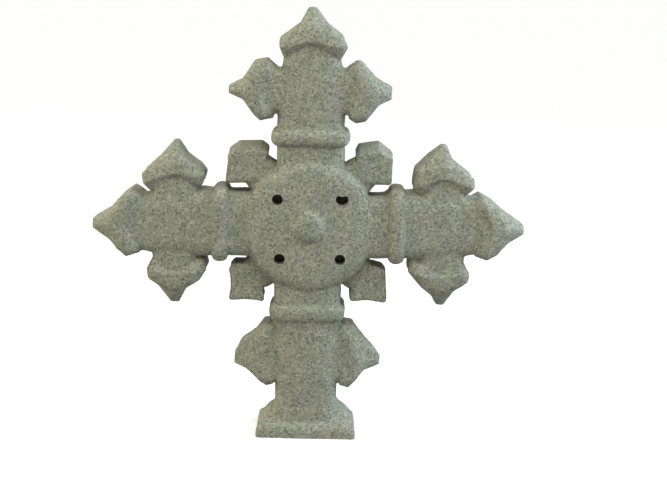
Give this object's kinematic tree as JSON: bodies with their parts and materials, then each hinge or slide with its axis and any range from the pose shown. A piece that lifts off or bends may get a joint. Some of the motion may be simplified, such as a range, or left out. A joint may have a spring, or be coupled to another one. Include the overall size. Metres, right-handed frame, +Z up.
{
  "type": "ringed cross memorial",
  "caption": "Free-standing granite cross with a round drilled hub, collared arms ending in lobed buds, square knops on the diagonals and a slab foot.",
  "frame": {"origin": "middle of the flat underside of the foot", "axes": "+Z up the stem, front face with the drilled eyes towards -Y, +X to the right as seen from the front"},
  "size_m": [0.6906, 0.14, 0.6913],
  "materials": {
    "granite": "fine-picked grey-green granite, matt, with dark mica and pale feldspar grains of 1 to 3 mm"
  },
  "bodies": {
    "root": {"granite_cross": "granite"}
  },
  "joints": []
}
